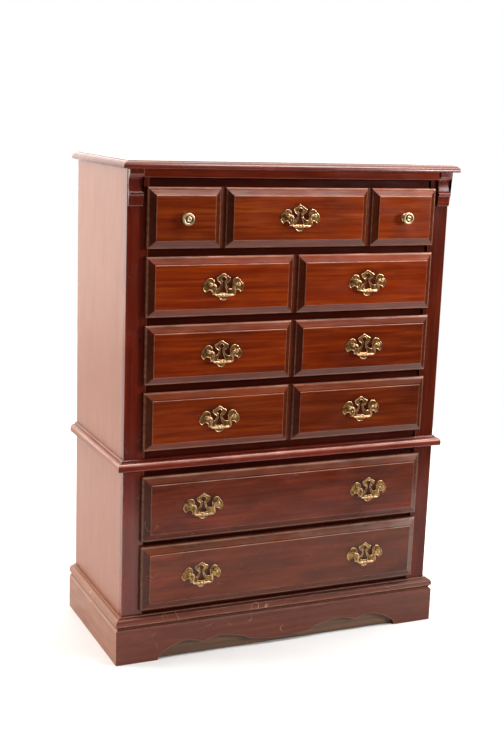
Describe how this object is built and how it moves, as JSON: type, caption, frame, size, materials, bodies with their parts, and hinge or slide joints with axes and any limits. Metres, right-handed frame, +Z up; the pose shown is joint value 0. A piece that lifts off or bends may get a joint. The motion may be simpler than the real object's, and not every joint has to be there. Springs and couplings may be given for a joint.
{
  "type": "block front chest",
  "caption": "Tall block front chest of drawers with lipped raised-panel fronts, swinging bail pulls on pierced plates, waist and base mouldings and a scalloped plinth.",
  "frame": {"origin": "centre of the bounding box on the floor, with the drawers shut and the bails hanging", "axes": "+X to the chest's right seen from the front, +Y to its back, +Z up; the drawers open towards -Y"},
  "size_m": [0.9514, 0.4644, 1.3034],
  "materials": {
    "top_veneer": "satin lacquer over cherry-stained veneer",
    "side_veneer": "satin lacquer over cherry-stained veneer",
    "front_wood": "dark red-brown satin lacquer",
    "drawer_face": "red-brown satin lacquer",
    "moulding_wood": "red-brown satin lacquer",
    "plinth_wood": "dull red-brown lacquer, scratched",
    "raw_wood": "bare sawn softwood",
    "inner_wood": "bare planed poplar",
    "drawer_bottom": "smooth thin plywood",
    "back_hardboard": "smooth hardboard",
    "guide_plastic": "moulded nylon",
    "glide_plastic": "moulded nylon",
    "brass": "aged, lacquered"
  },
  "bodies": {
    "case": {"top_board": "top_veneer", "left_side_panel": "side_veneer", "right_side_panel": "side_veneer", "left_stile": "front_wood", "right_stile": "front_wood", "drawer_rails": "front_wood", "rear_rails": "inner_wood", "back_panel": "back_hardboard", "frieze_rail": "front_wood", "corner_brackets": "front_wood", "waist_moulding": "moulding_wood", "base_moulding": "moulding_wood", "front_apron": "plinth_wood", "plinth_sides": "plinth_wood", "plinth_frame": "raw_wood", "centre_guides": "inner_wood", "glue_blocks": "raw_wood", "rail_glides": "glide_plastic"},
    "drawer_1": {"drawer_1_front": "drawer_face", "drawer_1_box": "inner_wood", "drawer_1_bottom": "drawer_bottom", "drawer_1_guide": "guide_plastic", "drawer_1_pulls": "brass", "knobs": "brass"},
    "bail_1_centre_swing": {"bail_1_centre": "brass"},
    "drawer_2": {"drawer_2_front": "drawer_face", "drawer_2_box": "inner_wood", "drawer_2_bottom": "drawer_bottom", "drawer_2_guide": "guide_plastic", "drawer_2_pulls": "brass"},
    "bail_2_left_swing": {"bail_2_left": "brass"},
    "bail_2_right_swing": {"bail_2_right": "brass"},
    "drawer_3": {"drawer_3_front": "drawer_face", "drawer_3_box": "inner_wood", "drawer_3_bottom": "drawer_bottom", "drawer_3_guide": "guide_plastic", "drawer_3_pulls": "brass"},
    "bail_3_left_swing": {"bail_3_left": "brass"},
    "bail_3_right_swing": {"bail_3_right": "brass"},
    "drawer_4": {"drawer_4_front": "drawer_face", "drawer_4_box": "inner_wood", "drawer_4_bottom": "drawer_bottom", "drawer_4_guide": "guide_plastic", "drawer_4_pulls": "brass"},
    "bail_4_left_swing": {"bail_4_left": "brass"},
    "bail_4_right_swing": {"bail_4_right": "brass"},
    "drawer_5": {"drawer_5_front": "drawer_face", "drawer_5_box": "inner_wood", "drawer_5_bottom": "drawer_bottom", "drawer_5_guide": "guide_plastic", "drawer_5_pulls": "brass"},
    "bail_5_left_swing": {"bail_5_left": "brass"},
    "bail_5_right_swing": {"bail_5_right": "brass"},
    "drawer_6": {"drawer_6_front": "drawer_face", "drawer_6_box": "inner_wood", "drawer_6_bottom": "drawer_bottom", "drawer_6_guide": "guide_plastic", "drawer_6_pulls": "brass"},
    "bail_6_left_swing": {"bail_6_left": "brass"},
    "bail_6_right_swing": {"bail_6_right": "brass"}
  },
  "joints": [
    {"name": "drawer_1_slide", "type": "slide", "parent": "case", "child": "drawer_1", "axis": [0, -1, 0], "range_m": [0, 0.3]},
    {"name": "bail_1_centre_hinge", "type": "hinge", "parent": "drawer_1", "child": "bail_1_centre_swing", "pos_m": [0, -0.22215, 1.1719], "axis": [-1, 0, 0], "range_deg": [-12, 192]},
    {"name": "drawer_2_slide", "type": "slide", "parent": "case", "child": "drawer_2", "axis": [0, -1, 0], "range_m": [0, 0.3]},
    {"name": "bail_2_left_hinge", "type": "hinge", "parent": "drawer_2", "child": "bail_2_left_swing", "pos_m": [-0.2072, -0.22215, 1.0001], "axis": [-1, 0, 0], "range_deg": [-12, 192]},
    {"name": "bail_2_right_hinge", "type": "hinge", "parent": "drawer_2", "child": "bail_2_right_swing", "pos_m": [0.2072, -0.22215, 1.0001], "axis": [-1, 0, 0], "range_deg": [-12, 192]},
    {"name": "drawer_3_slide", "type": "slide", "parent": "case", "child": "drawer_3", "axis": [0, -1, 0], "range_m": [0, 0.3]},
    {"name": "bail_3_left_hinge", "type": "hinge", "parent": "drawer_3", "child": "bail_3_left_swing", "pos_m": [-0.2072, -0.22215, 0.8283], "axis": [-1, 0, 0], "range_deg": [-12, 192]},
    {"name": "bail_3_right_hinge", "type": "hinge", "parent": "drawer_3", "child": "bail_3_right_swing", "pos_m": [0.2072, -0.22215, 0.8283], "axis": [-1, 0, 0], "range_deg": [-12, 192]},
    {"name": "drawer_4_slide", "type": "slide", "parent": "case", "child": "drawer_4", "axis": [0, -1, 0], "range_m": [0, 0.3]},
    {"name": "bail_4_left_hinge", "type": "hinge", "parent": "drawer_4", "child": "bail_4_left_swing", "pos_m": [-0.2072, -0.22215, 0.6565], "axis": [-1, 0, 0], "range_deg": [-12, 192]},
    {"name": "bail_4_right_hinge", "type": "hinge", "parent": "drawer_4", "child": "bail_4_right_swing", "pos_m": [0.2072, -0.22215, 0.6565], "axis": [-1, 0, 0], "range_deg": [-12, 192]},
    {"name": "drawer_5_slide", "type": "slide", "parent": "case", "child": "drawer_5", "axis": [0, -1, 0], "range_m": [0, 0.3]},
    {"name": "bail_5_left_hinge", "type": "hinge", "parent": "drawer_5", "child": "bail_5_left_swing", "pos_m": [-0.245, -0.22215, 0.425], "axis": [-1, 0, 0], "range_deg": [-12, 192]},
    {"name": "bail_5_right_hinge", "type": "hinge", "parent": "drawer_5", "child": "bail_5_right_swing", "pos_m": [0.245, -0.22215, 0.425], "axis": [-1, 0, 0], "range_deg": [-12, 192]},
    {"name": "drawer_6_slide", "type": "slide", "parent": "case", "child": "drawer_6", "axis": [0, -1, 0], "range_m": [0, 0.3]},
    {"name": "bail_6_left_hinge", "type": "hinge", "parent": "drawer_6", "child": "bail_6_left_swing", "pos_m": [-0.245, -0.22215, 0.2365], "axis": [-1, 0, 0], "range_deg": [-12, 192]},
    {"name": "bail_6_right_hinge", "type": "hinge", "parent": "drawer_6", "child": "bail_6_right_swing", "pos_m": [0.245, -0.22215, 0.2365], "axis": [-1, 0, 0], "range_deg": [-12, 192]}
  ]
}
